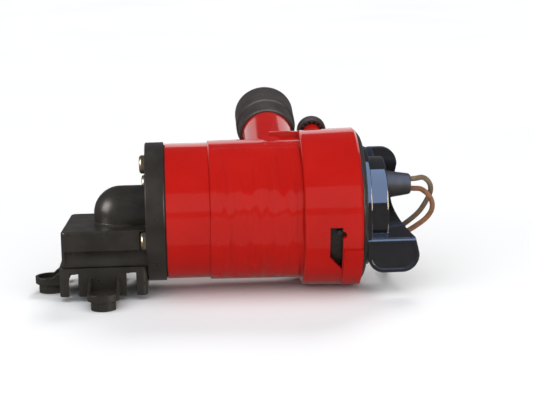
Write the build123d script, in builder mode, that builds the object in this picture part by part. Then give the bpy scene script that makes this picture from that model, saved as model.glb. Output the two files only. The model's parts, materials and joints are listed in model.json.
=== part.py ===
"""In-line bilge pump with a bayonet motor cartridge and a three-eared strainer foot.

Millimetres, +Z up. The pump axis runs along +X, from the inlet flange to the motor cap. The origin lies on
the floor, midway between the front and back screw holes of the foot. -Y is the front, +Y the outlet side.
"""
from build123d import *
import math
import os

os.makedirs("parts", exist_ok=True)

# ---------------------------------------------------------------- driving dimensions
AXIS_Z = 43.2  # height of the pump axis; the collar's lip just touches the floor

# stations along the pump axis
FLANGE_X0, FLANGE_X1 = 23.2, 33.4
GASKET_T = 0.6
HOUSING_X0 = FLANGE_X1 + GASKET_T
BAND_X = 57.3
COLLAR_X0, COLLAR_X1 = 107.0, 138.2
SEAL_X1 = 130.0
WINDOW_X0, WINDOW_X1 = 120.3, 127.1
RING_X0, RING_X1 = 138.5, 141.4
LAND_X0 = 117.5
SKIRT_X0 = 120.6
CAP_RIM_T = 2.7
CAP_X1 = 153.7
WING_X1 = 168.7

# radii round the pump axis
BORE_R = 34.4
FIRST_BAND_R = 37.0
MAIN_BAND_R0, MAIN_BAND_R1 = 38.0, 38.6
COLLAR_R0, COLLAR_R1 = 42.4, 43.2
COLLAR_IN_R = 40.6
SEAL_WALL_R = 37.0
FLANGE_R = 37.9
RING_R, SHOULDER_R = 41.5, 34.2
SKIRT_R0, SKIRT_R1 = 37.4, 38.9
LUG_R, RIB_R = 40.3, 39.2
SHELL_R0, SHELL_R1 = 25.2, 27.0
LAND_R = 34.2
CAP_RIM_R, CAP_R = 32.7, 27.0

# bayonet: lugs sit behind the ribs at rest and clear them after the twist
LUG_COUNT = 4
LUG_SPAN, RIB_SPAN = 19.0, 21.0
LUG_X = (126.4, 130.4)
RIB_X = (131.0, 134.6)
TWIST = 24.0  # turn that brings the lugs clear of the ribs

# inlet flange screws
SCREW_PITCH_R = 30.0
SCREW_COUNT = 4
SCREW_START = 111.0  # degrees from +Y, so that one screw sits 21 degrees to the front of the top
SCREW_HEAD_R, SCREW_HEAD_T = 5.0, 3.0
SCREW_SHANK_R = 1.9
SCREW_TIP_X = 46.0
SCREW_BOSS_R, SCREW_BOSS_LENGTH = 4.2, 16.0

# outlet and bleed ports: both lean back and 15 degrees up, and pass above the pump axis
PORT_TILT = 15.0
OUTLET_X, OUTLET_OFFSET = 92.3, 24.0
STUB_R, STUB_BORE_R, THREAD_R = 14.4, 10.5, 12.9
THROAT_R = 9.8  # waterway below the bore that takes the hose tail
THROAT_T = 49.0
LEDGE_Y0, LEDGE_Y1, LEDGE_TOP = 3.0, 5.0, 41.8  # ledge between the stub and the collar, above the pump axis
NUT_T0, NUT_STEP, NUT_T1 = 45.7, 58.5, 79.0
NUT_SKIRT_R, NUT_BAND_R, NUT_LIP_R = 15.8, 17.0, 11.2
STUB_T1 = 71.0
BLEED_X, BLEED_OFFSET = 117.3, 27.9
BLEED_R, BLEED_THREAD_R = 5.2, 3.6
BLEED_T0, BLEED_T1 = 39.0, 46.5
BLEED_CAP_R, BLEED_LIP_R = 8.2, 7.6
MOUTH_R, MOUTH_DEPTH = 5.5, 1.6  # hollow in the cap's face, with a ring of notches
NOTCH_COUNT, NOTCH_R = 14, 0.75
BLEED_BORE_R = 1.8
DOME_EDGE = 3.4

# strainer foot
ELBOW_X, ELBOW_R = 9.2, 14.8
INLET_BORE_R = 10.8
BOX_X0, BOX_BACK_X0 = -22.6, -20.0
BOX_HALF_Y, BOX_TOP = 26.0, 38.2
SCOOP_R, SCOOP_DEPTH, SCOOP_Z = 4.62, 2.4, 23.35  # hollow along the box's front and back
CHAMBER_X0, CHAMBER_X1, CHAMBER_HALF_Y, CHAMBER_TOP = -18.2, 18.4, 21.6, 29.0
BASE_X0, BASE_X1, BASE_HALF_Y = -24.0, 23.0, 26.9
BASE_Z0, BASE_Z1 = 3.0, 18.4
BASE_WALL = 2.4
SLOT_TOP = 15.4
SEAT_Z = 16.4  # underside of the ledge that the intake box stands on
EAR_PITCH = 85.8
EAR_R, EAR_HOLE_R, EAR_T = 6.6, 2.75, 8.8
EAR_RIM_R, EAR_RIM_T = 8.4, 1.5
EAR_PLATE_Z, EAR_SEAT_Z = 5.2, 6.6
EAR_ROOT_T = 13.4
LEFT_EAR_X = -30.7

# motor
SHAFT_R = 2.5
ROTOR_GAP = 0.03
BEARING_R = 6.5
MOTOR_CAN_R0, MOTOR_CAN_R1 = 23.7, 25.0
CAN_X0, CAN_X1 = 55.0, 126.0
MAGNET_R0 = 18.7
CORE_R = 18.1
CORE_X0, CORE_X1 = 66.0, 104.0
SLOT_COUNT = 8
COMMUTATOR_R = 7.2
COMMUTATOR_X0, COMMUTATOR_X1 = 110.0, 121.0
BRUSH_X = 115.0
IMPELLER_R = 23.0
IMPELLER_X0, IMPELLER_X1 = 39.0, 49.0
VANE_COUNT = 6

# wing handle: one sloping web and two upright finger wings
WEB_TILT = 24.0
WEB_HALF = 31.3
WEB_T = 3.0
WING_HALF = 29.8
HANDLE_DROP = 1.6  # the web and wings sit this much below the pump axis

# cable gland and wires
GLAND_Z = 11.4
GLAND_R0, GLAND_R1 = 7.9, 5.6
WIRE_D = 2.9
WIRE_PITCH = 5.4

# ---------------------------------------------------------------- planes and axes
PUMP_AXIS = Axis((0, 0, AXIS_Z), (1, 0, 0))
AXIAL = Plane(origin=(0, 0, AXIS_Z), x_dir=(1, 0, 0), z_dir=(0, -1, 0))
LEAN_SIN, LEAN_COS = math.sin(math.radians(PORT_TILT)), math.cos(math.radians(PORT_TILT))


def station(x):
    """Plane across the pump axis at x: local x is +Y, local y is +Z."""
    return Plane(origin=(x, 0, AXIS_Z), x_dir=(0, 1, 0), z_dir=(1, 0, 0))


def port_plane(x, offset):
    """Plane whose normal is a leaning port's axis; local y points down and back."""
    origin = (x, -offset * LEAN_SIN, AXIS_Z + offset * LEAN_COS)
    return Plane(origin=origin, x_dir=(1, 0, 0), z_dir=(0, LEAN_COS, LEAN_SIN))


def port_section(port):
    """Half plane through a port's axis: local x runs along the port, local y is its radius."""
    return Plane(origin=port.origin, x_dir=port.z_dir, z_dir=(-1, 0, 0))


def rings_at(part, x, radius):
    """Circular edges round the pump axis at one station."""
    circles = part.edges().filter_by(GeomType.CIRCLE)
    return circles.filter_by(lambda e: abs(e.arc_center.X - x) < 0.01 and abs(e.radius - radius) < 0.01)


def pump_ring(x0, x1, r0, r1):
    """Plain ring round the pump axis."""
    with BuildPart() as ring:
        with BuildSketch(station(x0)):
            Circle(r1)
            Circle(r0, mode=Mode.SUBTRACT)
        extrude(amount=x1 - x0)
    return ring.part


def ring_sector(x0, x1, r0, r1, middle, span):
    """Part of a ring round the pump axis, centred on an angle from +Y towards +Z."""
    with BuildPart() as sector:
        with BuildSketch(station(x0)):
            with BuildLine():
                outer = CenterArc((0, 0), r1, middle - span / 2, span)
                inner = CenterArc((0, 0), r0, middle - span / 2, span)
                Line(outer @ 0, inner @ 0)
                Line(outer @ 1, inner @ 1)
            make_face()
        extrude(amount=x1 - x0)
    return sector.part


def finish_part(piece, name):
    """Label a finished part and write it."""
    piece.label = name
    export_step(piece, "parts/" + name + ".step")


OUTLET = port_plane(OUTLET_X, OUTLET_OFFSET)
BLEED = port_plane(BLEED_X, BLEED_OFFSET)
OUTLET_AXIS = Axis(OUTLET.origin, OUTLET.z_dir)
BLEED_AXIS = Axis(BLEED.origin, BLEED.z_dir)

# ---------------------------------------------------------------- red pump housing
BAYONET_START = 90.0
PAD_R = 44.3
PAD_MIDDLE, PAD_SPAN = 223.0, 42.0  # raised pad over the bayonet's way in, in degrees from +Y
WINDOW_TOP, WINDOW_LOW, WINDOW_TIP = 185.0, 209.0, 221.0
KEY_X, KEY_R, KEY_TOP_R = 125.2, 1.3, 41.6
KEY_ANGLE, KEY_WAY_SPAN = 189.0, 7.5
WINDOW_MIDDLE = (WINDOW_TOP + WINDOW_TIP) / 2

ribs = [
    ring_sector(*RIB_X, RIB_R, COLLAR_IN_R + 0.5, BAYONET_START + 360 / LUG_COUNT * i, RIB_SPAN)
    for i in range(LUG_COUNT)
]
lugs = [
    ring_sector(*LUG_X, SKIRT_R1 - 0.5, LUG_R, BAYONET_START + 360 / LUG_COUNT * i, LUG_SPAN)
    for i in range(LUG_COUNT)
]
key_way = ring_sector(KEY_X, COLLAR_X1 + 1, COLLAR_IN_R - 2, KEY_TOP_R + 0.5, KEY_ANGLE + TWIST, KEY_WAY_SPAN)
pad = ring_sector(WINDOW_X1 + 0.6, COLLAR_X1 - 0.2, COLLAR_IN_R + 0.3, PAD_R, PAD_MIDDLE, PAD_SPAN)


def rim_point(angle):
    """Height of a pump-axis angle on the collar, in the plane that faces the window's middle."""
    return COLLAR_R1 * math.sin(math.radians(WINDOW_MIDDLE - angle))


window_out = (0, math.cos(math.radians(WINDOW_MIDDLE)), math.sin(math.radians(WINDOW_MIDDLE)))
WINDOW_PLANE = Plane(origin=(0, 0, AXIS_Z), x_dir=(1, 0, 0), z_dir=window_out)

with BuildPart() as pump_housing:
    with BuildSketch(AXIAL):
        with BuildLine():
            Polyline(
                (HOUSING_X0, 0),
                (HOUSING_X0, FIRST_BAND_R),
                (BAND_X, FIRST_BAND_R),
                (BAND_X, MAIN_BAND_R0),
                (COLLAR_X0, MAIN_BAND_R1),
                (COLLAR_X0, COLLAR_R0),
                (COLLAR_X1, COLLAR_R1),
                (COLLAR_X1, 0),
                close=True,
            )
        make_face()
    revolve(axis=PUMP_AXIS)
    chamfer(rings_at(pump_housing, COLLAR_X1, COLLAR_R1), length=1.3)
    fillet(rings_at(pump_housing, COLLAR_X0, COLLAR_R0), radius=1.4)
    fillet(rings_at(pump_housing, BAND_X, MAIN_BAND_R0), radius=0.5)
    fillet(rings_at(pump_housing, HOUSING_X0, FIRST_BAND_R), radius=0.4)
    # outlet stub with its threaded end, the ledge beside it, the bleed stub and the bayonet pad
    with BuildSketch(OUTLET.offset(5)):
        Circle(STUB_R)
    extrude(amount=NUT_T0 - 0.3 - 5)
    with BuildSketch(OUTLET.offset(5)):
        Circle(THREAD_R)
    extrude(amount=STUB_T1 - 5)
    with BuildSketch(Plane.XY.offset(AXIS_Z + BORE_R - 4)):
        with Locations(((OUTLET_X + COLLAR_X0) / 2, (LEDGE_Y0 + LEDGE_Y1) / 2)):
            Rectangle(COLLAR_X0 - OUTLET_X + 2, LEDGE_Y1 - LEDGE_Y0)
    extrude(amount=LEDGE_TOP - BORE_R + 4)
    with BuildSketch(BLEED.offset(20)):
        Circle(BLEED_R)
    extrude(amount=BLEED_T0 - 0.3 - 20)
    with BuildSketch(BLEED.offset(20)):
        Circle(BLEED_THREAD_R)
    extrude(amount=43.5 - 20)
    add(pad)
    # inside: water bore, cored seal wall and bayonet collar
    with BuildSketch(AXIAL):
        with BuildLine():
            Polyline(
                (HOUSING_X0, 0),
                (HOUSING_X0, BORE_R),
                (SEAL_X1, BORE_R),
                (SEAL_X1, SEAL_WALL_R),
                (WINDOW_X0 - 0.1, SEAL_WALL_R),
                (WINDOW_X0 - 0.1, COLLAR_IN_R),
                (COLLAR_X1, COLLAR_IN_R),
                (COLLAR_X1, 0),
                close=True,
            )
        make_face()
    revolve(axis=PUMP_AXIS, mode=Mode.SUBTRACT)
    with BuildSketch(OUTLET.offset(4)):
        Circle(THROAT_R)
    extrude(amount=STUB_T1, mode=Mode.SUBTRACT)
    with BuildSketch(OUTLET.offset(THROAT_T)):
        Circle(STUB_BORE_R)
    extrude(amount=STUB_T1, mode=Mode.SUBTRACT)
    with BuildSketch(BLEED.offset(15)):
        Circle(BLEED_BORE_R)
    extrude(amount=40, mode=Mode.SUBTRACT)
    # bayonet window with a slanted foot and a round notch beside the key
    with BuildSketch(WINDOW_PLANE.offset(COLLAR_IN_R - 9)):
        with BuildLine():
            Polyline(
                (WINDOW_X0, rim_point(WINDOW_TOP)),
                (WINDOW_X1, rim_point(WINDOW_TOP)),
                (WINDOW_X1, rim_point(WINDOW_TIP)),
                (WINDOW_X0, rim_point(WINDOW_LOW)),
                close=True,
            )
        make_face()
        with Locations((WINDOW_X1, rim_point(WINDOW_TOP + 5.5))):
            Circle(2.0)
    extrude(amount=20, mode=Mode.SUBTRACT)
    add(key_way, mode=Mode.SUBTRACT)
    for rib in ribs:
        add(rib)
    # screw bosses behind the flange
    with BuildSketch(station(HOUSING_X0)):
        with PolarLocations(SCREW_PITCH_R, SCREW_COUNT, start_angle=SCREW_START):
            Circle(SCREW_BOSS_R)
            with Locations((2.6, 0)):
                Rectangle(4.2, 6)
    extrude(amount=SCREW_BOSS_LENGTH)
    with BuildSketch(station(HOUSING_X0)):
        with PolarLocations(SCREW_PITCH_R, SCREW_COUNT, start_angle=SCREW_START):
            Circle(SCREW_SHANK_R + 0.05)
    extrude(amount=12.5, mode=Mode.SUBTRACT)
finish_part(pump_housing.part, "pump_housing")

# ---------------------------------------------------------------- inlet body: flange, elbow and intake box
with BuildPart() as inlet_body:
    with BuildSketch(station(FLANGE_X0)):
        Circle(FLANGE_R)
    extrude(amount=FLANGE_X1 - FLANGE_X0)
    chamfer(rings_at(inlet_body, FLANGE_X0, FLANGE_R), length=0.5)
    chamfer(rings_at(inlet_body, FLANGE_X1, FLANGE_R), length=0.4)
    with BuildSketch(Plane.XY.offset(BASE_Z1)):
        with BuildLine():
            Polyline(
                (BOX_X0, -BOX_HALF_Y),
                (FLANGE_X0, -BOX_HALF_Y),
                (FLANGE_X0, BOX_HALF_Y),
                (BOX_BACK_X0, BOX_HALF_Y),
                close=True,
            )
        make_face()
    extrude(amount=BOX_TOP - BASE_Z1)
    fillet(inlet_body.edges().filter_by(Axis.Z).filter_by(lambda e: e.center().X < 0), radius=3.0)
    top_edges = inlet_body.edges().filter_by(Plane.XY.offset(BOX_TOP)).filter_by(
        lambda e: e.center().X < FLANGE_X0 - 0.1
    )
    fillet(top_edges, radius=1.2)
    for side, scoop_x0 in ((-1, BOX_X0 + 1.8), (1, BOX_BACK_X0 + 1.8)):
        with BuildSketch(station(scoop_x0)):
            with Locations((side * (BOX_HALF_Y + SCOOP_R - SCOOP_DEPTH), SCOOP_Z - AXIS_Z)):
                Circle(SCOOP_R)
        extrude(amount=FLANGE_X0 - scoop_x0, mode=Mode.SUBTRACT)
    # elbow: level leg, ball corner, upright leg and its foot bead
    with BuildSketch(station(ELBOW_X)):
        Circle(ELBOW_R)
    extrude(amount=FLANGE_X0 - ELBOW_X + 1)
    with Locations((ELBOW_X, 0, AXIS_Z)):
        Sphere(ELBOW_R)
    with BuildSketch(Plane.XY.offset(BOX_TOP - 1)):
        with Locations((ELBOW_X, 0)):
            Circle(ELBOW_R)
    extrude(amount=AXIS_Z - BOX_TOP + 1)
    with Locations((ELBOW_X, 0, BOX_TOP + 0.6)):
        Cone(ELBOW_R + 1.1, ELBOW_R - 0.2, 1.4)
    # waterway, intake chamber, screw holes
    with BuildSketch(station(ELBOW_X)):
        Circle(INLET_BORE_R)
    extrude(amount=FLANGE_X1 - ELBOW_X, mode=Mode.SUBTRACT)
    with Locations((ELBOW_X, 0, AXIS_Z)):
        Sphere(INLET_BORE_R, mode=Mode.SUBTRACT)
    with BuildSketch(Plane.XY.offset(BASE_Z1)):
        with Locations((ELBOW_X, 0)):
            Circle(INLET_BORE_R)
    extrude(amount=AXIS_Z - BASE_Z1, mode=Mode.SUBTRACT)
    with BuildSketch(Plane.XY.offset(BASE_Z1)):
        with Locations(((CHAMBER_X0 + CHAMBER_X1) / 2, 0)):
            RectangleRounded(CHAMBER_X1 - CHAMBER_X0, 2 * CHAMBER_HALF_Y, 2.0)
    extrude(amount=CHAMBER_TOP - BASE_Z1, mode=Mode.SUBTRACT)
    with BuildSketch(station(FLANGE_X0)):
        with PolarLocations(SCREW_PITCH_R, SCREW_COUNT, start_angle=SCREW_START):
            Circle(SCREW_SHANK_R + 0.1)
    extrude(amount=FLANGE_X1 - FLANGE_X0, mode=Mode.SUBTRACT)
    with BuildSketch(station(FLANGE_X0)):
        with PolarLocations(SCREW_PITCH_R, SCREW_COUNT, start_angle=SCREW_START):
            Circle(SCREW_HEAD_R + 0.5)
    extrude(amount=-SCREW_HEAD_T - 0.7, mode=Mode.SUBTRACT)
finish_part(inlet_body.part, "inlet_body")


def ear(root, outward, reach):
    """Screw ear: cupped plate round the screw seat, boss below it, two sloping cheeks up to the foot."""
    flat = Plane(origin=root, x_dir=outward, z_dir=(0, 0, 1))
    upright = Plane(origin=root, x_dir=outward, z_dir=(outward[1], -outward[0], 0))
    inside_r = EAR_RIM_R - EAR_RIM_T
    with BuildPart() as lug:
        with BuildSketch(flat.offset(EAR_PLATE_Z)):
            with Locations(((reach - 0.8) / 2, 0)):
                Rectangle(reach + 0.8, 2 * EAR_RIM_R)
            with Locations((reach, 0)):
                Circle(EAR_RIM_R)
        extrude(amount=EAR_T - EAR_PLATE_Z)
        for side in (1, -1):
            with BuildSketch(upright.offset(side * (EAR_RIM_R - EAR_RIM_T / 2))):
                with BuildLine():
                    Polyline((-0.8, EAR_PLATE_Z), (-0.8, EAR_ROOT_T), (0.2, EAR_ROOT_T), (reach - 1, EAR_T))
                    Polyline((reach - 1, EAR_T), (reach - 1, EAR_PLATE_Z), (-0.8, EAR_PLATE_Z))
                make_face()
            extrude(amount=EAR_RIM_T / 2, both=True)
        with BuildSketch(flat.offset(EAR_SEAT_Z)):
            with Locations((reach / 2 + 0.03, 0)):
                Rectangle(reach - 0.06, 2 * inside_r)
            with Locations((reach, 0)):
                Circle(inside_r)
        extrude(amount=EAR_ROOT_T, mode=Mode.SUBTRACT)
        with BuildSketch(flat):
            with Locations((reach, 0)):
                Circle(EAR_R)
        extrude(amount=EAR_SEAT_Z)
        with BuildSketch(flat.offset(BASE_Z0)):
            with Locations(((reach - 0.8) / 2, 0)):
                Rectangle(reach + 0.8, EAR_R)
        extrude(amount=EAR_SEAT_Z - BASE_Z0)
        with BuildSketch(flat):
            with Locations((reach, 0)):
                Circle(EAR_HOLE_R)
        extrude(amount=EAR_SEAT_Z + 1, mode=Mode.SUBTRACT)
    return lug.part


front_reach = EAR_PITCH / 2 - BASE_HALF_Y
front_ear = ear((0, -BASE_HALF_Y, 0), (0, -1, 0), front_reach)
back_ear = ear((0, BASE_HALF_Y, 0), (0, 1, 0), front_reach)
left_ear = ear((BASE_X0, 0, 0), (-1, 0, 0), BASE_X0 - LEFT_EAR_X)

# ---------------------------------------------------------------- castellated strainer base
FRONT_SLOTS = ((-19.0, 5.2), (11.9, 5.2))
SIDE_SLOTS = ((12.8, 5.0), (-17.8, 5.0))
with BuildPart() as strainer_base:
    with BuildSketch(Plane.XY.offset(BASE_Z0)):
        with Locations(((BASE_X0 + BASE_X1) / 2, 0)):
            RectangleRounded(BASE_X1 - BASE_X0, 2 * BASE_HALF_Y, 3.0)
            RectangleRounded(BASE_X1 - BASE_X0 - 2 * BASE_WALL, 2 * (BASE_HALF_Y - BASE_WALL), 1.5,
                             mode=Mode.SUBTRACT)
    extrude(amount=BASE_Z1 - BASE_Z0)
    with BuildSketch(Plane.XY.offset(SEAT_Z)):
        with Locations(((BASE_X0 + BASE_X1) / 2, 0)):
            RectangleRounded(BASE_X1 - BASE_X0, 2 * BASE_HALF_Y, 3.0)
        with Locations(((CHAMBER_X0 + CHAMBER_X1) / 2, 0)):
            RectangleRounded(CHAMBER_X1 - CHAMBER_X0, 2 * CHAMBER_HALF_Y, 2.0, mode=Mode.SUBTRACT)
    extrude(amount=BASE_Z1 - SEAT_Z)
    with BuildSketch(Plane.XY):
        for x0, width in FRONT_SLOTS:
            with Locations((x0 + width / 2, 0)):
                Rectangle(width, 2 * BASE_HALF_Y + 2)
        for y0, width in SIDE_SLOTS:
            with Locations((0, y0 + width / 2)):
                Rectangle(60, width)
    extrude(amount=SLOT_TOP, mode=Mode.SUBTRACT)
    with BuildSketch(station(BASE_X1 + 1)):
        with PolarLocations(SCREW_PITCH_R, SCREW_COUNT, start_angle=SCREW_START):
            Circle(SCREW_HEAD_R + 0.5)
    extrude(amount=-8, mode=Mode.SUBTRACT)
    add(front_ear)
    add(back_ear)
    add(left_ear)
finish_part(strainer_base.part, "strainer_base")

# ---------------------------------------------------------------- gasket and flange screws
with BuildPart() as flange_gasket:
    with BuildSketch(station(FLANGE_X1)):
        Circle(FIRST_BAND_R - 0.6)
        Circle(24.5, mode=Mode.SUBTRACT)
        with PolarLocations(SCREW_PITCH_R, SCREW_COUNT, start_angle=SCREW_START):
            Circle(SCREW_SHANK_R + 0.2, mode=Mode.SUBTRACT)
    extrude(amount=GASKET_T)
finish_part(flange_gasket.part, "flange_gasket")

with BuildPart() as flange_screws:
    with BuildSketch(station(FLANGE_X0)):
        with PolarLocations(SCREW_PITCH_R, SCREW_COUNT, start_angle=SCREW_START):
            Circle(SCREW_HEAD_R)
    extrude(amount=-SCREW_HEAD_T)
    fillet(flange_screws.edges().group_by(Axis.X)[0], radius=1.6)
    with BuildSketch(station(FLANGE_X0)):
        with PolarLocations(SCREW_PITCH_R, SCREW_COUNT, start_angle=SCREW_START):
            Circle(SCREW_SHANK_R)
    extrude(amount=SCREW_TIP_X - FLANGE_X0)
    with BuildSketch(station(FLANGE_X0 - SCREW_HEAD_T)):
        with PolarLocations(SCREW_PITCH_R, SCREW_COUNT, start_angle=SCREW_START):
            Rectangle(5.2, 0.9)
            Rectangle(0.9, 5.2)
    extrude(amount=1.6, mode=Mode.SUBTRACT)
finish_part(flange_screws.part, "flange_screws")

# ---------------------------------------------------------------- outlet union: nut, slip washer, seal
with BuildPart() as union_nut:
    with BuildSketch(port_section(OUTLET)):
        with BuildLine():
            Polyline(
                (NUT_T0, THREAD_R + 0.3),
                (NUT_T0, NUT_SKIRT_R - 0.8),
                (NUT_T0 + 0.6, NUT_SKIRT_R),
                (NUT_STEP - 0.6, NUT_SKIRT_R + 0.4),
                (NUT_STEP, NUT_BAND_R),
                (NUT_T1 - 1.2, NUT_BAND_R),
                (NUT_T1, NUT_BAND_R - 1.2),
                (NUT_T1, NUT_LIP_R),
                (NUT_T1 - 4, NUT_LIP_R),
                (NUT_T1 - 4, THREAD_R + 0.3),
                close=True,
            )
        make_face()
    revolve(axis=OUTLET_AXIS)
finish_part(union_nut.part, "union_nut")

with BuildPart() as union_washer:
    with BuildSketch(OUTLET.offset(NUT_T1 - 5.6)):
        Circle(THREAD_R)
        Circle(NUT_LIP_R, mode=Mode.SUBTRACT)
    extrude(amount=1.5)
finish_part(union_washer.part, "union_washer")

with BuildPart() as outlet_oring:
    with BuildSketch(port_section(OUTLET)):
        with Locations((STUB_T1 + 0.8, 11.8)):
            Circle(0.79)
    revolve(axis=OUTLET_AXIS)
finish_part(outlet_oring.part, "outlet_oring")

# ---------------------------------------------------------------- bleed cap and seal
with BuildPart() as bleed_cap:
    with BuildSketch(port_section(BLEED)):
        with BuildLine():
            Polyline(
                (BLEED_T1, 0),
                (BLEED_T0, 0),
                (BLEED_T0, BLEED_LIP_R),
                (BLEED_T0 + 2, BLEED_CAP_R),
                (BLEED_T1 - DOME_EDGE, BLEED_CAP_R),
            )
            RadiusArc((BLEED_T1 - DOME_EDGE, BLEED_CAP_R), (BLEED_T1, BLEED_CAP_R - DOME_EDGE), DOME_EDGE)
            Line((BLEED_T1, BLEED_CAP_R - DOME_EDGE), (BLEED_T1, 0))
        make_face()
    revolve(axis=BLEED_AXIS)
    with BuildSketch(BLEED.offset(BLEED_T0)):
        Circle(MOUTH_R)
        with PolarLocations(MOUTH_R + 0.5, NOTCH_COUNT):
            Circle(NOTCH_R)
    extrude(amount=MOUTH_DEPTH, mode=Mode.SUBTRACT)
    with BuildSketch(BLEED.offset(BLEED_T0)):
        Circle(BLEED_THREAD_R + 0.3)
    extrude(amount=5.7, mode=Mode.SUBTRACT)
finish_part(bleed_cap.part, "bleed_cap")

with BuildPart() as bleed_seal:
    with BuildSketch(BLEED.offset(BLEED_T0 + 4.7)):
        Circle(BLEED_THREAD_R + 0.2)
    extrude(amount=1.0)
finish_part(bleed_seal.part, "bleed_seal")

# ---------------------------------------------------------------- cartridge: shell, seals, locking ring
GROOVE_X = (121.2, 125.6)
with BuildPart() as cartridge_shell:
    with BuildSketch(AXIAL):
        with BuildLine():
            Polyline(
                (51.0, BEARING_R + 0.02),
                (51.0, SHELL_R1),
                (LAND_X0, SHELL_R1),
                (LAND_X0, LAND_R),
                (SEAL_X1 - 0.4, LAND_R),
                (SEAL_X1 - 0.4, LAND_R - 3.6),
                (LAND_X0 + 2.7, LAND_R - 3.6),
                (LAND_X0 + 2.7, SHELL_R1),
                (RING_X1, SHELL_R1),
                (RING_X1, SHELL_R0),
                (54.0, SHELL_R0),
                (54.0, BEARING_R + 0.02),
                close=True,
            )
        make_face()
    revolve(axis=PUMP_AXIS)
    with BuildSketch(AXIAL):
        for groove in GROOVE_X:
            with Locations((groove + 1.3, LAND_R)):
                Rectangle(2.6, 3.6)
    revolve(axis=PUMP_AXIS, mode=Mode.SUBTRACT)
finish_part(cartridge_shell.part, "cartridge_shell")

with BuildPart() as cartridge_orings:
    with BuildSketch(AXIAL):
        for groove in GROOVE_X:
            with Locations((groove + 1.3, BORE_R - 1.0)):
                Circle(0.95)
    revolve(axis=PUMP_AXIS)
finish_part(cartridge_orings.part, "cartridge_orings")

with BuildPart() as shaft_seal:
    with BuildSketch(station(51.2)):
        Circle(BEARING_R)
        Circle(SHAFT_R + ROTOR_GAP, mode=Mode.SUBTRACT)
    extrude(amount=2.8)
finish_part(shaft_seal.part, "shaft_seal")

key_base = Plane(
    origin=(KEY_X, 0, AXIS_Z),
    x_dir=(1, 0, 0),
    z_dir=(0, math.cos(math.radians(KEY_ANGLE)), math.sin(math.radians(KEY_ANGLE))),
)
with BuildPart() as locking_ring:
    with BuildSketch(AXIAL):
        with BuildLine():
            Polyline((SKIRT_X0, SKIRT_R0), (SKIRT_X0, SKIRT_R1), (RING_X0, SKIRT_R1), (RING_X0, RING_R))
            RadiusArc((RING_X0, RING_R), (RING_X1, SHOULDER_R), 8.4)
            Polyline(
                (RING_X1, SHOULDER_R),
                (RING_X1, SHELL_R1 + 0.05),
                (RING_X0, SHELL_R1 + 0.05),
                (RING_X0, SKIRT_R0),
                (SKIRT_X0, SKIRT_R0),
            )
        make_face()
    revolve(axis=PUMP_AXIS)
    for lug in lugs:
        add(lug)
    with BuildSketch(key_base.offset(SKIRT_R1 - 0.6)):
        Circle(KEY_R)
    extrude(amount=KEY_TOP_R - SKIRT_R1 + 0.6)
finish_part(locking_ring.part, "locking_ring")

# ---------------------------------------------------------------- end cap with web and finger wings
WEB = Plane(
    origin=(0, 0, AXIS_Z),
    x_dir=(1, 0, 0),
    z_dir=(0, -math.sin(math.radians(WEB_TILT)), math.cos(math.radians(WEB_TILT))),
)
WING_Y = WEB_HALF * math.cos(math.radians(WEB_TILT))
WING_TOP = -WEB_HALF * math.sin(math.radians(WEB_TILT)) + 1.2
FRONT_TIP_X, BACK_TIP_X, WEB_HUB_X = 167.6, 163.4, 158.9
WEB_SAG = 1.6
WING_X0 = RING_X1 + 0.3
WING_T, HOLLOW_T = 3.0, 0.8
WEB_REACH = WEB_HALF - 0.6


def wing_outline(tip_x, inset):
    """Outline of a finger wing with a tip at this station, drawn this much inside its edge."""
    low, left, top = inset - WING_HALF, WING_X0 + inset, WING_TOP - 1.3 * inset
    Line((left, -21.5), (left, top))
    Line((left, top), (tip_x - inset, top))
    Line((tip_x - inset, top), (tip_x + 1.8 - inset, -19.6))
    corner = (tip_x - 0.7 - 0.9 * inset, -26.8 + 0.5 * inset)
    ThreePointArc((tip_x + 1.8 - inset, -19.6), corner, (tip_x - 7.0, low))
    Line((tip_x - 7.0, low), (WING_X0 + 9.3, low))
    ThreePointArc((WING_X0 + 9.3, low), (WING_X0 + 3.0 + 0.8 * inset, -27.8 + 0.7 * inset), (left, -21.5))


def half_handle(tip_x):
    """One half of the web with its wing and the thumb hollow in it, on the front side."""
    with BuildPart() as half:
        with BuildSketch(AXIAL.offset(WING_Y - WING_T / 2)):
            with BuildLine():
                wing_outline(tip_x, 0)
            make_face()
        extrude(amount=WING_T)
        fillet(half.edges().filter_by(Axis.X).group_by(Axis.Y)[0].sort_by(Axis.Z)[-1], radius=1.4)
        with BuildSketch(WEB.offset(-WEB_T / 2)):
            with BuildLine():
                Polyline((WEB_HUB_X, 0), (WING_X0, 0), (WING_X0, -WEB_REACH), (tip_x, -WEB_REACH))
                web_middle = ((WEB_HUB_X + tip_x) / 2 - WEB_SAG, -WEB_REACH / 2)
                ThreePointArc((tip_x, -WEB_REACH), web_middle, (WEB_HUB_X, 0))
            make_face()
        extrude(amount=WEB_T)
        with BuildSketch(AXIAL.offset(WING_Y + WING_T / 2)):
            with BuildLine():
                wing_outline(tip_x, 1.9)
            make_face()
        extrude(amount=-HOLLOW_T, mode=Mode.SUBTRACT)
    return half.part


DROP = Location((0, 0, -HANDLE_DROP))
front_half = half_handle(FRONT_TIP_X).moved(DROP)
back_half = half_handle(BACK_TIP_X).rotate(PUMP_AXIS, 180).moved(DROP)

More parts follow.
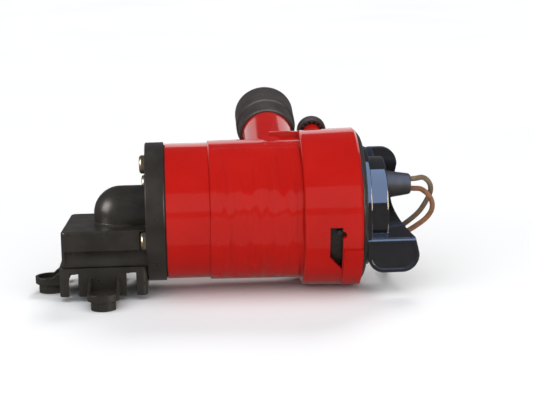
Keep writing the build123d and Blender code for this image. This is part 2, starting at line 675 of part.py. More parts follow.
with BuildPart() as end_cap:
    with BuildSketch(AXIAL):
        with BuildLine():
            rim_x1 = RING_X1 + CAP_RIM_T
            Polyline((RING_X1, 0), (RING_X1, CAP_RIM_R), (rim_x1 - 0.8, CAP_RIM_R))
            RadiusArc((rim_x1 - 0.8, CAP_RIM_R), (rim_x1, CAP_RIM_R - 0.8), 0.8)
            Polyline((rim_x1, CAP_RIM_R - 0.8), (rim_x1, CAP_R), (CAP_X1 - 1.2, CAP_R))
            RadiusArc((CAP_X1 - 1.2, CAP_R), (CAP_X1, CAP_R - 1.2), 1.2)
            Polyline((CAP_X1, CAP_R - 1.2), (CAP_X1, 0), (RING_X1, 0))
        make_face()
    revolve(axis=PUMP_AXIS)
    add(front_half)
    add(back_half)
    with BuildSketch(station(RING_X1)):
        Circle(CAP_R - 2.4)
    extrude(amount=CAP_X1 - 2.4 - RING_X1, mode=Mode.SUBTRACT)
    with BuildSketch(station(RING_X1)):
        with Locations((0, GLAND_Z)):
            Circle(5.02)
    extrude(amount=20, mode=Mode.SUBTRACT)
finish_part(end_cap.part, "end_cap")

# ---------------------------------------------------------------- cable gland
gland_line = Axis((0, 0, AXIS_Z + GLAND_Z), (1, 0, 0))
with BuildPart() as cable_gland:
    with BuildSketch(AXIAL):
        with BuildLine():
            Polyline(
                (CAP_X1 - 4.4, GLAND_Z),
                (CAP_X1 - 4.4, GLAND_Z + 7.2),
                (CAP_X1 - 2.4, GLAND_Z + 7.2),
                (CAP_X1 - 2.4, GLAND_Z + 5.0),
                (CAP_X1, GLAND_Z + 5.0),
                (CAP_X1, GLAND_Z + GLAND_R0),
                (WING_X1 - 0.8, GLAND_Z + GLAND_R1 + 0.15),
                (WING_X1, GLAND_Z + GLAND_R1 - 0.6),
                (WING_X1, GLAND_Z),
                close=True,
            )
        make_face()
    revolve(axis=gland_line)
    with BuildSketch(station(CAP_X1 - 5)):
        with Locations((0, GLAND_Z + WIRE_PITCH / 2), (0, GLAND_Z - WIRE_PITCH / 2)):
            Circle(WIRE_D / 2 + 0.02)
    extrude(amount=30, mode=Mode.SUBTRACT)
finish_part(cable_gland.part, "cable_gland")

with BuildPart() as lead_ends:
    with BuildSketch(station(129.0)):
        with Locations((0, GLAND_Z + WIRE_PITCH / 2), (0, GLAND_Z - WIRE_PITCH / 2)):
            Circle(WIRE_D / 2)
    extrude(amount=WING_X1 - 129.0)
finish_part(lead_ends.part, "lead_ends")

# ---------------------------------------------------------------- rotor
with BuildPart() as shaft:
    with BuildSketch(station(35.6)):
        Circle(SHAFT_R)
    extrude(amount=128.0 - 35.6)
    chamfer(rings_at(shaft, 35.6, SHAFT_R), length=0.4)
finish_part(shaft.part, "shaft")

with BuildPart() as impeller:
    with BuildSketch(station(IMPELLER_X1 - 2)):
        Circle(IMPELLER_R)
    extrude(amount=2)
    with BuildSketch(station(IMPELLER_X0)):
        Circle(5.6)
    extrude(amount=IMPELLER_X1 - IMPELLER_X0)
    with BuildSketch(station(IMPELLER_X0 + 1.5)):
        with PolarLocations(0, VANE_COUNT):
            with BuildLine() as vane_line:
                ThreePointArc((5.0, 0), (14.0, 2.8), (IMPELLER_R - 0.2, 0))
            trace(vane_line.line, line_width=1.8)
    extrude(amount=IMPELLER_X1 - IMPELLER_X0 - 2.5)
    with BuildSketch(station(IMPELLER_X0)):
        Circle(SHAFT_R + 0.02)
    extrude(amount=IMPELLER_X1 - IMPELLER_X0, mode=Mode.SUBTRACT)
finish_part(impeller.part, "impeller")

with BuildPart() as impeller_nut:
    with BuildSketch(station(IMPELLER_X0 - 2.6)):
        RegularPolygon(4.4, 6)
        Circle(SHAFT_R + 0.02, mode=Mode.SUBTRACT)
    extrude(amount=2.6)
finish_part(impeller_nut.part, "impeller_nut")

with BuildPart() as armature_core:
    with BuildSketch(station(CORE_X0)):
        Circle(CORE_R)
        Circle(SHAFT_R + 0.02, mode=Mode.SUBTRACT)
        with PolarLocations(13.0, SLOT_COUNT):
            Circle(2.7, mode=Mode.SUBTRACT)
            with Locations((4, 0)):
                Rectangle(5, 1.6, mode=Mode.SUBTRACT)
    extrude(amount=CORE_X1 - CORE_X0)
finish_part(armature_core.part, "armature_core")

with BuildPart() as armature_winding:
    with BuildSketch(station(CORE_X0 - 1)):
        with PolarLocations(13.0, SLOT_COUNT):
            Circle(2.5)
    extrude(amount=CORE_X1 - CORE_X0 + 2)
    with BuildSketch(AXIAL):
        with Locations((CORE_X0 - 2.3, 12.5), (CORE_X1 + 2.5, 12.5)):
            RectangleRounded(4.0, 7.4, 1.6)
    revolve(axis=PUMP_AXIS)
finish_part(armature_winding.part, "armature_winding")

with BuildPart() as commutator:
    with BuildSketch(station(COMMUTATOR_X0)):
        Circle(COMMUTATOR_R)
        Circle(SHAFT_R + 0.02, mode=Mode.SUBTRACT)
        with PolarLocations(COMMUTATOR_R, SLOT_COUNT):
            Rectangle(1.6, 0.5, mode=Mode.SUBTRACT)
    extrude(amount=COMMUTATOR_X1 - COMMUTATOR_X0)
finish_part(commutator.part, "commutator")

# ---------------------------------------------------------------- motor stator
with BuildPart() as motor_can:
    with BuildSketch(AXIAL):
        with BuildLine():
            Polyline(
                (CAN_X0, BEARING_R + 0.02),
                (CAN_X0, MOTOR_CAN_R1),
                (CAN_X1, MOTOR_CAN_R1),
                (CAN_X1, MOTOR_CAN_R0),
                (CAN_X0 + 1.5, MOTOR_CAN_R0),
                (CAN_X0 + 1.5, BEARING_R + 1.6),
                (CAN_X0 + 6, BEARING_R + 1.6),
                (CAN_X0 + 6, BEARING_R + 0.02),
                close=True,
            )
        make_face()
    revolve(axis=PUMP_AXIS)
finish_part(motor_can.part, "motor_can")

magnet_front = ring_sector(CORE_X0 - 2, CORE_X1 + 2, MAGNET_R0, MOTOR_CAN_R0 - 0.05, 180, 130)
magnet_back = ring_sector(CORE_X0 - 2, CORE_X1 + 2, MAGNET_R0, MOTOR_CAN_R0 - 0.05, 0, 130)
with BuildPart() as magnets:
    add(magnet_front)
    add(magnet_back)
finish_part(magnets.part, "magnets")

for name, bearing_x0, bearing_x1 in (("front_bearing", CAN_X0, CAN_X0 + 6), ("rear_bearing", 122.2, 128.0)):
    finish_part(pump_ring(bearing_x0, bearing_x1, SHAFT_R + ROTOR_GAP, BEARING_R), name)

with BuildPart() as motor_end_bell:
    with BuildSketch(station(122.2)):
        Circle(MOTOR_CAN_R0 - 0.05)
        Circle(BEARING_R + 0.02, mode=Mode.SUBTRACT)
    extrude(amount=2.2)
    with BuildSketch(station(122.2)):
        Circle(BEARING_R + 1.8)
        Circle(BEARING_R + 0.02, mode=Mode.SUBTRACT)
    extrude(amount=5.8)
finish_part(motor_end_bell.part, "motor_end_bell")

BRUSH_ALONG, BRUSH_WIDE = 6.0, 4.6
with BuildPart() as brush_holder:
    with BuildSketch(station(119.4)):
        Circle(MOTOR_CAN_R0 - 0.1)
        Circle(COMMUTATOR_R + 1.0, mode=Mode.SUBTRACT)
    extrude(amount=2.4)
    for side in (1, -1):
        with BuildSketch(Plane.XY.offset(AXIS_Z + side * 9.6)):
            with Locations((BRUSH_X + 0.2, 0)):
                Rectangle(BRUSH_ALONG + 3.0, BRUSH_WIDE + 3.2)
        extrude(amount=side * 13.0)
    for side in (1, -1):
        with BuildSketch(Plane.XY.offset(AXIS_Z + side * 9.0)):
            with Locations((BRUSH_X, 0)):
                Rectangle(BRUSH_ALONG + 0.2, BRUSH_WIDE + 0.2)
        extrude(amount=side * 12.4, mode=Mode.SUBTRACT)
finish_part(brush_holder.part, "brush_holder")

with BuildPart() as brushes:
    for side in (1, -1):
        with BuildSketch(Plane.XY.offset(AXIS_Z + side * (COMMUTATOR_R + 0.06))):
            with Locations((BRUSH_X, 0)):
                Rectangle(BRUSH_ALONG, BRUSH_WIDE)
        extrude(amount=side * 8.4)
finish_part(brushes.part, "brushes")

with BuildPart() as brush_springs:
    for side in (1, -1):
        with BuildSketch(Plane.XY.offset(AXIS_Z + side * (COMMUTATOR_R + 8.5))):
            with Locations((BRUSH_X, 0)):
                Circle(1.9)
                Circle(1.3, mode=Mode.SUBTRACT)
        extrude(amount=side * 5.6)
finish_part(brush_springs.part, "brush_springs")

# ---------------------------------------------------------------- wires
FLOOR_WIRE = WIRE_D / 2 + 0.05
DARK_WIRE = [
    (WING_X1, 0.0, AXIS_Z + GLAND_Z + WIRE_PITCH / 2),
    (171.8, 0.0, AXIS_Z + GLAND_Z + WIRE_PITCH / 2),
    (176.6, 1.6, 58.1),
    (180.8, 3.4, 53.8),
    (181.2, 4.4, 48.8),
    (178.4, 4.8, 43.2),
    (174.6, 5.2, 37.2),
    (168.0, 6.4, 31.6),
    (161.8, 11.0, 26.0),
    (159.4, 20.0, 18.0),
    (158.0, 31.0, 9.5),
    (157.5, 45.0, 2.8),
    (150.0, 56.0, FLOOR_WIRE),
    (139.5, 60.5, FLOOR_WIRE),
    (129.0, 65.2, FLOOR_WIRE),
]
BROWN_WIRE = [
    (WING_X1, 0.0, AXIS_Z + GLAND_Z - WIRE_PITCH / 2),
    (171.4, 0.0, AXIS_Z + GLAND_Z - WIRE_PITCH / 2),
    (175.4, -1.3, 51.8),
    (180.2, -2.2, 47.0),
    (181.4, -2.0, 40.8),
    (178.0, -1.4, 35.2),
    (171.5, -0.4, 30.4),
    (165.0, 3.0, 25.6),
    (160.8, 9.0, 18.4),
    (159.2, 17.5, 10.2),
    (159.8, 29.0, 4.0),
    (162.5, 43.0, FLOOR_WIRE),
    (160.5, 57.0, FLOOR_WIRE),
    (151.5, 68.5, FLOOR_WIRE),
    (136.5, 75.5, FLOOR_WIRE),
    (120.0, 77.8, FLOOR_WIRE),
    (104.0, 76.6, FLOOR_WIRE),
    (89.0, 73.2, FLOOR_WIRE),
    (74.6, 70.8, FLOOR_WIRE),
]
COIL_OUT_R, COIL_IN_R = 21.9, 10.1
DARK_COIL, BROWN_COIL = (112.0, 50.0), (66.0, 50.0)


def corner_radii(route):
    """Arc radius at each corner: as large as the two runs beside it allow."""
    radii = []
    for before, at, after in zip(route, route[1:], route[2:]):
        arrive = Vector(*at) - Vector(*before)
        leave = Vector(*after) - Vector(*at)
        half_turn = math.radians(arrive.get_angle(leave)) / 2
        radii.append(0.45 * min(arrive.length, leave.length) / math.tan(half_turn))
    return radii


def cord_tube(route):
    """Round tube along straight runs and tangent arcs."""
    radii = corner_radii(route)
    with BuildPart() as tube:
        with BuildLine() as path:
            FilletPolyline(*route, radius=radii)
        run = path.wires()[0]
        with BuildSketch(Plane(origin=run @ 0, z_dir=run % 0)):
            Circle(WIRE_D / 2)
        sweep(path=run)
    section = math.pi * WIRE_D ** 2 / 4
    print("radii", [round(r, 1) for r in radii], "length", round(run.length, 1))
    print("volume", round(tube.part.volume, 1), "section x length", round(section * run.length, 1))
    return tube.part


def wire_coil(centre):
    """Outer shape of a coil of wire lying on the floor."""
    with BuildPart() as coil:
        with BuildSketch(Plane.XY):
            with Locations(centre):
                Circle(COIL_OUT_R)
                Circle(COIL_IN_R, mode=Mode.SUBTRACT)
        extrude(amount=2 * WIRE_D + 0.1)
        fillet(coil.edges(), radius=1.2)
    return coil.part


finish_part(cord_tube(DARK_WIRE), "wire_dark")
finish_part(cord_tube(BROWN_WIRE), "wire_brown")
finish_part(wire_coil(DARK_COIL), "wire_dark_coil")
finish_part(wire_coil(BROWN_COIL), "wire_brown_coil")
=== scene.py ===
"""Looks of an in-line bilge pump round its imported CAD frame: camera, wires, materials, floor and light."""

import json
import math

import bmesh
import bpy
from mathutils import Matrix, Quaternion, Vector


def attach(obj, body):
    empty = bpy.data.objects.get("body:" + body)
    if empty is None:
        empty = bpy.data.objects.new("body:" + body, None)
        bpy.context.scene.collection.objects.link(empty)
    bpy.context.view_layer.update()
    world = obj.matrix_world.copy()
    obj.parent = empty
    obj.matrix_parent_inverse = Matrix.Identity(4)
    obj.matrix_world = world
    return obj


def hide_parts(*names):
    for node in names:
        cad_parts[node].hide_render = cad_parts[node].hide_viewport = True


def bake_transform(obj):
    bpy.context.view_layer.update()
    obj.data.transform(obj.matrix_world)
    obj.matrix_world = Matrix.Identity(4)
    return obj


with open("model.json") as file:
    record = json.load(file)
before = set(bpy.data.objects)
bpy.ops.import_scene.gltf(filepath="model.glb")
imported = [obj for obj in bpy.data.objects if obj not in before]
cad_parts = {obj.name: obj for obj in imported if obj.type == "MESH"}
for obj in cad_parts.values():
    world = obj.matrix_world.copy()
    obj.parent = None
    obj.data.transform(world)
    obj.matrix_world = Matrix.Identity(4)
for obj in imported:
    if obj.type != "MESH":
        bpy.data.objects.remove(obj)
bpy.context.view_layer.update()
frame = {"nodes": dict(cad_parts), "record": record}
NODES = frame["nodes"]
SCENE = bpy.context.scene

# ---------------------------------------------------------------- camera
CAMERA_AT = Vector((0.0444, -0.8167, 0.202))
CAMERA_AIM = Vector((0.0892, 0.0, 0.0477))
CAMERA_LENS = 102.0
CAMERA_ROLL = math.radians(-1.1)


def add_camera():
    data = bpy.data.cameras.new("camera")
    data.lens = CAMERA_LENS
    data.sensor_width = 36.0
    camera = bpy.data.objects.new("camera", data)
    camera.location = CAMERA_AT
    camera.rotation_mode = "QUATERNION"
    look = (CAMERA_AIM - CAMERA_AT).to_track_quat("-Z", "Y")
    camera.rotation_quaternion = look @ Quaternion((0, 0, 1), CAMERA_ROLL)
    SCENE.collection.objects.link(camera)
    SCENE.camera = camera


add_camera()

# ---------------------------------------------------------------- sizes shared with the CAD part, in metres
AXIS_Z = 0.0432
WIRE_D = 0.0029
GLAND_Z = AXIS_Z + 0.0114
WIRE_PITCH = 0.0054
FLOOR_WIRE = WIRE_D / 2 + 0.00005
COIL_LIFT = 0.0005  # the put-away coils lie on their ties
DARK_ROUTE = [
    (0.1687, 0.0, GLAND_Z + WIRE_PITCH / 2),
    (0.1718, 0.0, GLAND_Z + WIRE_PITCH / 2),
    (0.1766, 0.0016, 0.0581),
    (0.1808, 0.0034, 0.0538),
    (0.1812, 0.0044, 0.0488),
    (0.1784, 0.0048, 0.0432),
    (0.1746, 0.0052, 0.0372),
    (0.1680, 0.0064, 0.0316),
    (0.1618, 0.0110, 0.0260),
    (0.1594, 0.0200, 0.0180),
    (0.1580, 0.0310, 0.0095),
    (0.1575, 0.0450, 0.0028),
    (0.1500, 0.0560, FLOOR_WIRE),
    (0.1395, 0.0605, FLOOR_WIRE),
    (0.1290, 0.0652, FLOOR_WIRE),
]
BROWN_ROUTE = [
    (0.1687, 0.0, GLAND_Z - WIRE_PITCH / 2),
    (0.1714, 0.0, GLAND_Z - WIRE_PITCH / 2),
    (0.1754, -0.0013, 0.0518),
    (0.1802, -0.0022, 0.0470),
    (0.1814, -0.0020, 0.0408),
    (0.1780, -0.0014, 0.0352),
    (0.1715, -0.0004, 0.0304),
    (0.1650, 0.0030, 0.0256),
    (0.1608, 0.0090, 0.0184),
    (0.1592, 0.0175, 0.0102),
    (0.1598, 0.0290, 0.0040),
    (0.1625, 0.0430, FLOOR_WIRE),
    (0.1605, 0.0570, FLOOR_WIRE),
    (0.1515, 0.0685, FLOOR_WIRE),
    (0.1365, 0.0755, FLOOR_WIRE),
    (0.1200, 0.0778, FLOOR_WIRE),
    (0.1040, 0.0766, FLOOR_WIRE),
    (0.0890, 0.0732, FLOOR_WIRE),
    (0.0746, 0.0708, FLOOR_WIRE),
]
DARK_COIL, BROWN_COIL = (0.112, 0.050), (0.066, 0.050)
RING_RADII = (0.0204, 0.0175, 0.0145, 0.0116)
TURN_POINTS = 16
SHIFT_FROM = 0.8  # share of a turn after which the wire steps over to its next ring
COIL_TURNS = 7.8
COIL_WAVER = 0.008  # share of its radius by which a turn strays from a circle
STRAND_R, STRAND_LENGTH, STRAND_ROOT = 0.00022, 0.009, 0.001
STRAND_COUNT, STRAND_STEPS, STRAND_TWIST = 7, 8, 150
TIE_HALF_OUT, TIE_HALF_UP, TIE_CORNER = 0.0062, 0.0030, 0.0014
TIE_WIDTH, TIE_T = 0.0026, 0.0004


# ---------------------------------------------------------------- wires
def smooth_step(t):
    t = max(0.0, min(1.0, t))
    return t * t * (3 - 2 * t)


def coil_points(centre, start_angle):
    """Turns wound inwards on the floor, then outwards on top of themselves."""
    radii = RING_RADII + RING_RADII[::-1]
    outside = 1 / math.cos(math.pi / TURN_POINTS)  # a control point stands this much outside its curve
    points = []
    for i in range(int(COIL_TURNS * TURN_POINTS)):
        turns = i / TURN_POINTS
        ring = int(turns)
        step = smooth_step((turns - ring - SHIFT_FROM) / (1 - SHIFT_FROM))
        after = radii[min(ring + 1, len(radii) - 1)]
        radius = (radii[ring] + (after - radii[ring]) * step) * outside
        climb = step if ring == len(RING_RADII) - 1 else float(ring >= len(RING_RADII))
        angle = start_angle + 2 * math.pi * turns
        radius *= 1 + COIL_WAVER * math.sin(2 * angle + 1)
        points.append((
            centre[0] + radius * math.cos(angle),
            centre[1] + radius * math.sin(angle),
            FLOOR_WIRE + COIL_LIFT + climb * WIRE_D,
        ))
    return points


def spline_curve(name, points, radius=0.0):
    """NURBS curve through space with these control points, as an object that isn't in the scene."""
    data = bpy.data.curves.new(name, "CURVE")
    data.dimensions = "3D"
    data.resolution_u = 8
    data.bevel_depth = radius
    data.bevel_resolution = 5
    data.use_fill_caps = True
    spline = data.splines.new("NURBS")
    spline.points.add(len(points) - 1)
    for target, point in zip(spline.points, points):
        target.co = (*point, 1)
    spline.order_u = 3
    spline.use_endpoint_u = True
    return bpy.data.objects.new(name, data)


def mesh_of(curve_object):
    """Mesh of a curve object, as its modifiers and bevel make it; the curve object is removed."""
    mesh = bpy.data.meshes.new_from_object(curve_object)
    bpy.data.objects.remove(curve_object)
    return mesh


def show(name, mesh, body):
    """New piece with this mesh that rides on a CAD body."""
    mesh.name = name
    for polygon in mesh.polygons:
        polygon.use_smooth = True
    piece = bpy.data.objects.new(name, mesh)
    SCENE.collection.objects.link(piece)
    if body:
        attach(piece, body)
    return piece


def centreline(points):
    return [tuple(v.co) for v in mesh_of(spline_curve("line", points)).vertices]


def strand_bundle(at, along, length, strand_r):
    """Seven bare strands with a slight twist, from a point along a direction."""
    along = along.normalized()
    side = along.cross(Vector((0, 0, 1))).normalized()
    up = side.cross(along)
    bm = bmesh.new()
    for strand in range(STRAND_COUNT):
        out = 0.0 if strand == STRAND_COUNT - 1 else 2.05 * strand_r
        points = []
        for i in range(STRAND_STEPS + 1):
            share = i / STRAND_STEPS
            angle = math.radians(60 * strand + STRAND_TWIST * share)
            spread = out * (1 + 0.35 * share)
            across = side * (spread * math.cos(angle)) + up * (spread * math.sin(angle))
            points.append(at + along * (length * share) + across)
        bm.from_mesh(mesh_of(spline_curve("strand", points, strand_r)))
    mesh = bpy.data.meshes.new("strands")
    bm.to_mesh(mesh)
    bm.free()
    return mesh


def band(centre, out, half_out, half_up, corner, width, thickness):
    """Flat tie round a bundle: a rounded rectangle in the plane of out and +Z, with an outer buckle."""
    out = Vector(out).normalized()
    up = Vector((0, 0, 1))
    across = out.cross(up)
    loop = []
    for corner_out, corner_up, first in ((1, 1, 0), (-1, 1, 90), (-1, -1, 180), (1, -1, 270)):
        middle = Vector(centre)
        middle += out * (corner_out * (half_out - corner)) + up * (corner_up * (half_up - corner))
        for i in range(5):
            angle = math.radians(first + 22.5 * i)
            loop.append((middle, out * math.cos(angle) + up * math.sin(angle)))
    bm = bmesh.new()
    rings = []
    for middle, away in loop:
        profile = []
        for side, deep in ((-1, 0), (-1, 0.7), (-0.7, 1), (0.7, 1), (1, 0.7), (1, 0)):
            reach = corner + thickness * deep
            profile.append(bm.verts.new(middle + away * reach + across * (side * width / 2)))
        rings.append(profile)
    for here, there in zip(rings, rings[1:] + rings[:1]):
        for a, b in zip(range(6), list(range(1, 6)) + [0]):
            bm.faces.new((here[a], here[b], there[b], there[a]))
    buckle = Matrix.Translation(Vector(centre) + out * (half_out + thickness * 0.6) + up * (half_up * 0.1))
    buckle @= Matrix((out, across, up)).transposed().to_4x4()
    buckle @= Matrix.Diagonal((thickness * 2.4, width * 1.5, width * 1.4, 1))
    made = bmesh.ops.create_cube(bm, size=1, matrix=buckle)
    edges = list({e for v in made["verts"] for e in v.link_edges})
    bmesh.ops.bevel(bm, geom=edges, offset=thickness * 0.5, segments=2, affect="EDGES", profile=0.6)
    bmesh.ops.recalc_face_normals(bm, faces=bm.faces)
    mesh = bpy.data.meshes.new("band")
    bm.to_mesh(mesh)
    bm.free()
    return mesh


def add_wire(name, nodes, route, coil_centre, start_angle, tie_angles):
    points = route + coil_points(coil_centre, start_angle)
    line = centreline(points)
    wire = show(name, mesh_of(spline_curve(name, points, WIRE_D / 2)), None)
    end, before = Vector(line[-1]), Vector(line[-2])
    along = end - before
    bundle = strand_bundle(end - along.normalized() * STRAND_ROOT, along, STRAND_LENGTH, STRAND_R)
    strands = show(name + "_bare_end", bundle, "housing")
    ties = []
    middle_r = (RING_RADII[0] + RING_RADII[-1]) / 2
    for i, angle in enumerate(tie_angles):
        out = Vector((math.cos(angle), math.sin(angle), 0))
        centre = Vector((*coil_centre, FLOOR_WIRE + COIL_LIFT + WIRE_D / 2)) + out * middle_r
        mesh = band(centre, out, TIE_HALF_OUT, TIE_HALF_UP, TIE_CORNER, TIE_WIDTH, TIE_T)
        ties.append(show(f"{name}_tie_{i + 1}", mesh, "housing"))
    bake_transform(wire)
    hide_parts(*nodes)
    return wire, strands, ties


dark_wire = add_wire(
    "lead_dark",
    ("wire_dark", "wire_dark_coil"),
    DARK_ROUTE,
    DARK_COIL,
    math.radians(62),
    (math.radians(-20), math.radians(160)),
)
brown_wire = add_wire(
    "lead_brown",
    ("wire_brown", "wire_brown_coil"),
    BROWN_ROUTE,
    BROWN_COIL,
    math.radians(90),
    (math.radians(20), math.radians(200)),
)


# ---------------------------------------------------------------- materials
def linear(red, green, blue):
    """Linear colour of a screen colour given from 0 to 255."""
    def channel(value):
        value /= 255
        return value / 12.92 if value <= 0.04045 else ((value + 0.055) / 1.055) ** 2.4
    return channel(red), channel(green), channel(blue), 1.0


class Finish:
    """Principled material whose colour, roughness and grain vary over the surface."""

    def __init__(self, name, dark, light, roughness, mottling=60.0, grain=900.0, grain_depth=0.00004,
                 bevel=0.0, metallic=0.0, specular=0.5, coat=0.0):
        self.material = bpy.data.materials.new(name)
        self.material.use_nodes = True
        self.tree = self.material.node_tree
        self.shader = self.tree.nodes["Principled BSDF"]
        self.shader.inputs["Metallic"].default_value = metallic
        self.shader.inputs["Specular IOR Level"].default_value = specular
        self.shader.inputs["Coat Weight"].default_value = coat
        self.shader.inputs["Coat Roughness"].default_value = 0.08
        self.place = self.add("ShaderNodeTexCoord").outputs["Object"]
        tone = self.noise(mottling, 4.0)
        self.join(self.blend_colours(tone, dark, light), self.shader.inputs["Base Color"])
        polish = self.spread(self.noise(mottling * 2.3, 3.0), *roughness)
        self.join(polish, self.shader.inputs["Roughness"])
        self.bump = self.relief(self.noise(grain, 2.0), grain_depth)
        if bevel:
            rounding = self.add("ShaderNodeBevel")
            rounding.samples = 4
            rounding.inputs["Radius"].default_value = bevel
            self.join(rounding.outputs["Normal"], self.bump.inputs["Normal"])
        self.join(self.bump.outputs["Normal"], self.shader.inputs["Normal"])

    def add(self, kind):
        return self.tree.nodes.new(kind)

    def join(self, output, socket):
        self.tree.links.new(output, socket)

    def noise(self, scale, detail, place=None, distortion=0.0):
        node = self.add("ShaderNodeTexNoise")
        node.inputs["Scale"].default_value = scale
        node.inputs["Detail"].default_value = detail
        node.inputs["Distortion"].default_value = distortion
        self.join(place or self.place, node.inputs["Vector"])
        return node.outputs["Fac"]

    def stretched(self, x, y, z):
        """Object coordinates multiplied along each axis."""
        node = self.add("ShaderNodeMapping")
        node.inputs["Scale"].default_value = (x, y, z)
        self.join(self.place, node.inputs["Vector"])
        return node.outputs["Vector"]

    def spread(self, value, low, high, source=(0.3, 0.7)):
        node = self.add("ShaderNodeMapRange")
        node.inputs["From Min"].default_value = source[0]
        node.inputs["From Max"].default_value = source[1]
        node.inputs["To Min"].default_value = low
        node.inputs["To Max"].default_value = high
        self.join(value, node.inputs["Value"])
        return node.outputs["Result"]

    def blend_colours(self, value, dark, light):
        node = self.add("ShaderNodeValToRGB")
        node.color_ramp.elements[0].position = 0.3
        node.color_ramp.elements[0].color = dark
        node.color_ramp.elements[1].position = 0.7
        node.color_ramp.elements[1].color = light
        self.join(value, node.inputs["Fac"])
        return node.outputs["Color"]

    def relief(self, height, depth, under=None):
        node = self.add("ShaderNodeBump")
        node.inputs["Strength"].default_value = 1.0
        node.inputs["Distance"].default_value = depth
        self.join(height, node.inputs["Height"])
        if under:
            self.join(under, node.inputs["Normal"])
        return node

    def add_relief(self, height, depth):
        """One more layer of relief under the grain."""
        layer = self.relief(height, depth)
        before = self.bump.inputs["Normal"]
        if before.is_linked:
            self.join(before.links[0].from_socket, layer.inputs["Normal"])
        self.join(layer.outputs["Normal"], before)

    def math(self, operation, a, b):
        node = self.add("ShaderNodeMath")
        node.operation = operation
        for socket, value in zip(node.inputs, (a, b)):
            if isinstance(value, (int, float)):
                socket.default_value = value
            else:
                self.join(value, socket)
        return node.outputs["Value"]

    def along(self, axis):
        node = self.add("ShaderNodeSeparateXYZ")
        self.join(self.place, node.inputs["Vector"])
        return node.outputs[axis]


red = Finish(
    "red_plastic", linear(174, 17, 10), linear(182, 22, 14), (0.08, 0.13), mottling=45.0,
    grain=2500.0, grain_depth=0.000003, bevel=0.0004, specular=0.36,
)
black = Finish(
    "black_plastic", linear(38, 35, 32), linear(52, 48, 43), (0.26, 0.38), mottling=80.0,
    grain=1800.0, grain_depth=0.000003, bevel=0.0004, specular=0.45,
)
gloss_black = Finish(
    "gloss_black", linear(24, 24, 27), linear(36, 36, 40), (0.04, 0.08), mottling=50.0,
    grain=2500.0, grain_depth=0.000002, bevel=0.0005, specular=0.9, coat=0.5,
)
nut_plastic = Finish(
    "nut_plastic", linear(52, 47, 46), linear(72, 66, 64), (0.36, 0.5), mottling=120.0,
    grain=1100.0, grain_depth=0.00009, bevel=0.0004,
)
rubber = Finish(
    "rubber", linear(38, 36, 36), linear(54, 52, 52), (0.42, 0.58), mottling=150.0, grain=2200.0,
    grain_depth=0.00002, bevel=0.0003,
)
stainless = Finish(
    "stainless", linear(186, 168, 142), linear(222, 206, 182), (0.24, 0.4), mottling=500.0,
    grain=2600.0, grain_depth=0.00001, bevel=0.0002, metallic=1.0,
)
plated = Finish(
    "plated_steel", linear(150, 150, 150), linear(190, 190, 192), (0.2, 0.35), mottling=90.0,
    metallic=1.0,
)
ferrite = Finish("ferrite", linear(52, 52, 54), linear(74, 74, 76), (0.5, 0.7), mottling=200.0)
bronze = Finish(
    "bronze", linear(160, 122, 70), linear(192, 154, 96), (0.3, 0.45), mottling=300.0, metallic=1.0,
)
carbon = Finish("carbon", linear(34, 34, 36), linear(50, 50, 52), (0.5, 0.65), mottling=400.0)
lamination = Finish(
    "lamination", linear(104, 104, 108), linear(134, 134, 138), (0.35, 0.5), mottling=120.0,
    metallic=1.0,
)
copper = Finish(
    "copper", linear(168, 92, 52), linear(204, 124, 78), (0.25, 0.4), mottling=400.0, metallic=1.0,
)
acetal = Finish(
    "white_plastic", linear(214, 211, 200), linear(232, 230, 220), (0.3, 0.42), mottling=70.0,
)
dark_sheath = Finish(
    "wire_dark", linear(104, 88, 70), linear(132, 112, 92), (0.26, 0.38), mottling=260.0,
    grain=1500.0, grain_depth=0.000012,
)
brown_sheath = Finish(
    "wire_brown", linear(124, 84, 58), linear(150, 106, 78), (0.24, 0.36), mottling=260.0,
    grain=1500.0, grain_depth=0.000012,
)
nylon = Finish("tie_nylon", linear(30, 30, 32), linear(46, 46, 48), (0.35, 0.5), mottling=300.0)

# moulding ripples on the main band, which break up what it mirrors; the first band and the collar are calm
BAND_X0, BAND_X1, BAND_TOP = 0.0573, 0.1070, 0.079
RIPPLE_DEPTH = 0.0015
LAMINATION_PITCH, LAMINATION_DEPTH = 0.0005, 0.00006
ripple = red.noise(1.0, 0.0, red.stretched(290.0, 50.0, 50.0))
swell = red.noise(1.0, 0.0, red.stretched(110.0, 40.0, 40.0))
past_step = red.math("GREATER_THAN", red.along("X"), BAND_X0)
before_collar = red.math("LESS_THAN", red.along("X"), BAND_X1)
below_ports = red.math("LESS_THAN", red.along("Z"), BAND_TOP)
inside = red.math("MULTIPLY", red.math("MULTIPLY", past_step, before_collar), below_ports)
red.add_relief(red.math("MULTIPLY", red.math("ADD", ripple, swell), inside), RIPPLE_DEPTH)

stack = lamination.math("MULTIPLY", lamination.along("X"), 2 * math.pi / LAMINATION_PITCH)
lamination.add_relief(lamination.math("SINE", stack, 0.0), LAMINATION_DEPTH)

FINISH_OF_SLOT = {
    "red_plastic": red,
    "black_plastic": black,
    "gloss_black": gloss_black,
    "nut_plastic": nut_plastic,
    "rubber": rubber,
    "stainless": stainless,
    "plated_steel": plated,
    "ferrite": ferrite,
    "bronze": bronze,
    "carbon": carbon,
    "lamination": lamination,
    "copper": copper,
    "white_plastic": acetal,
    "wire_dark": dark_sheath,
    "wire_brown": brown_sheath,
}


def paint(piece, finish):
    piece.data.materials.clear()
    piece.data.materials.append(finish.material)


for part in frame["record"]["subparts"]:
    paint(NODES[part["node"]], FINISH_OF_SLOT[part["material_slot"]])

WIRE_LOOKS = ((dark_wire, dark_sheath, "wire_dark"), (brown_wire, brown_sheath, "wire_brown"))
for (wire, strands, ties), finish, slot in WIRE_LOOKS:
    paint(wire, finish)
    paint(strands, copper)
    for tie in ties:
        paint(tie, nylon)


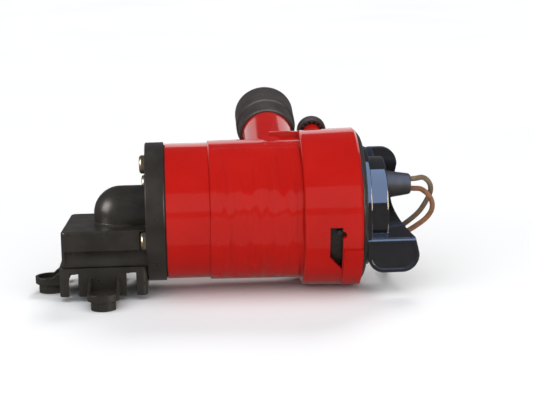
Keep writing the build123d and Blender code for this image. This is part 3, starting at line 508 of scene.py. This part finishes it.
# ---------------------------------------------------------------- floor and light
def add_floor():
    bm = bmesh.new()
    bmesh.ops.create_grid(bm, x_segments=8, y_segments=8, size=9.0)
    mesh = bpy.data.meshes.new("floor")
    bm.to_mesh(mesh)
    bm.free()
    floor = bpy.data.objects.new("floor", mesh)
    SCENE.collection.objects.link(floor)
    paper = Finish(
        "floor_paper", (0.86, 0.86, 0.86, 1), (0.89, 0.89, 0.89, 1), (0.8, 0.9),
        mottling=3.0, grain=300.0, grain_depth=0.00002, specular=0.1,
    )
    paint(floor, paper)
    return floor


def add_light(
    name, kind, energy, colour, towards,
    at=(0, 0, 0), size=None, angle=None, glossy=True, diffuse=True, only_on=(),
):
    data = bpy.data.lights.new(name, kind)
    data.energy = energy
    data.color = colour
    if size:
        data.shape = "RECTANGLE"
        data.size, data.size_y = size
    if angle:
        data.angle = math.radians(angle)
    light = bpy.data.objects.new(name, data)
    light.location = at
    light.rotation_mode = "QUATERNION"
    light.rotation_quaternion = Vector(towards).to_track_quat("-Z", "Y")
    light.visible_camera = False
    light.visible_glossy = glossy
    light.visible_diffuse = diffuse
    SCENE.collection.objects.link(light)
    if only_on:
        lit = bpy.data.collections.new(name + "_lights")
        for piece in only_on:
            lit.objects.link(piece)
        light.light_linking.receiver_collection = lit
    return light


def add_world():
    world = bpy.data.worlds.new("studio")
    SCENE.world = world
    world.use_nodes = True
    tree = world.node_tree
    place = tree.nodes.new("ShaderNodeTexCoord")
    split = tree.nodes.new("ShaderNodeSeparateXYZ")
    tree.links.new(place.outputs["Generated"], split.inputs["Vector"])
    ramp = tree.nodes.new("ShaderNodeValToRGB")
    ramp.color_ramp.elements[0].position = 0.0
    ramp.color_ramp.elements[0].color = (0.16, 0.15, 0.145, 1)
    ramp.color_ramp.elements[1].position = 0.5
    ramp.color_ramp.elements[1].color = (0.10, 0.105, 0.12, 1)
    tree.links.new(split.outputs["Z"], ramp.inputs["Fac"])
    tree.links.new(ramp.outputs["Color"], tree.nodes["Background"].inputs["Color"])


floor = add_floor()
floor.visible_glossy = False
add_world()
foot = [NODES["inlet_body"], NODES["strainer_base"], NODES["flange_screws"]]
cap = [NODES["end_cap"], NODES["cable_gland"], NODES["locking_ring"]]
ports = [NODES["union_nut"], NODES["bleed_cap"]]
add_light("key", "SUN", 1.4, (1.0, 0.98, 0.95), (-0.20, -0.75, -0.62), angle=20, glossy=False)
add_light("fill", "SUN", 3.3, (0.98, 0.99, 1.0), (0.05, 0.60, -0.75), angle=120, glossy=False)
add_light(
    "front_card", "AREA", 5.0, (1.0, 0.96, 0.92), (0, 1, 0), at=(0.09, -1.2, 0.62), size=(4.0, 0.8),
    diffuse=False, only_on=[NODES["pump_housing"]],
)
add_light(
    "floor_card", "AREA", 4.5, (1.0, 0.96, 0.92), (0, 0, 1), at=(0.09, -0.86, 0.002),
    size=(3.0, 1.6), diffuse=False, only_on=[NODES["pump_housing"]],
)
add_light(
    "back_strip", "AREA", 12.0, (1.0, 0.98, 0.98), (0, -1, 0), at=(0.09, 1.6, 0.55),
    size=(4.0, 0.9), diffuse=False, only_on=[NODES["pump_housing"]],
)
add_light(
    "foot_card", "AREA", 16.0, (1.0, 0.95, 0.88), (0.9, 0.35, -0.5), at=(-1.1, -0.35, 0.6),
    size=(0.7, 0.7), diffuse=False, only_on=foot,
)
add_light(
    "cap_card", "AREA", 30.0, (0.42, 0.60, 1.0), (0, 0.369, -0.928), at=(0.20, -0.42, 0.53),
    size=(2.4, 1.2), diffuse=False, only_on=cap,
)
add_light(
    "nut_card", "AREA", 20.0, (1.0, 0.95, 0.95), (0, 0.5, -0.85), at=(0.10, -0.50, 0.90),
    size=(2.0, 1.2), diffuse=False, only_on=ports,
)
add_light(
    "rim_card", "AREA", 20.0, (1.0, 0.86, 0.66), (-1, 0.25, -0.1), at=(1.2, -0.55, 0.28),
    size=(1.0, 0.6), diffuse=False, only_on=[*cap, *foot],
)

SCENE.view_settings.view_transform = "Standard"
SCENE.view_settings.look = "None"
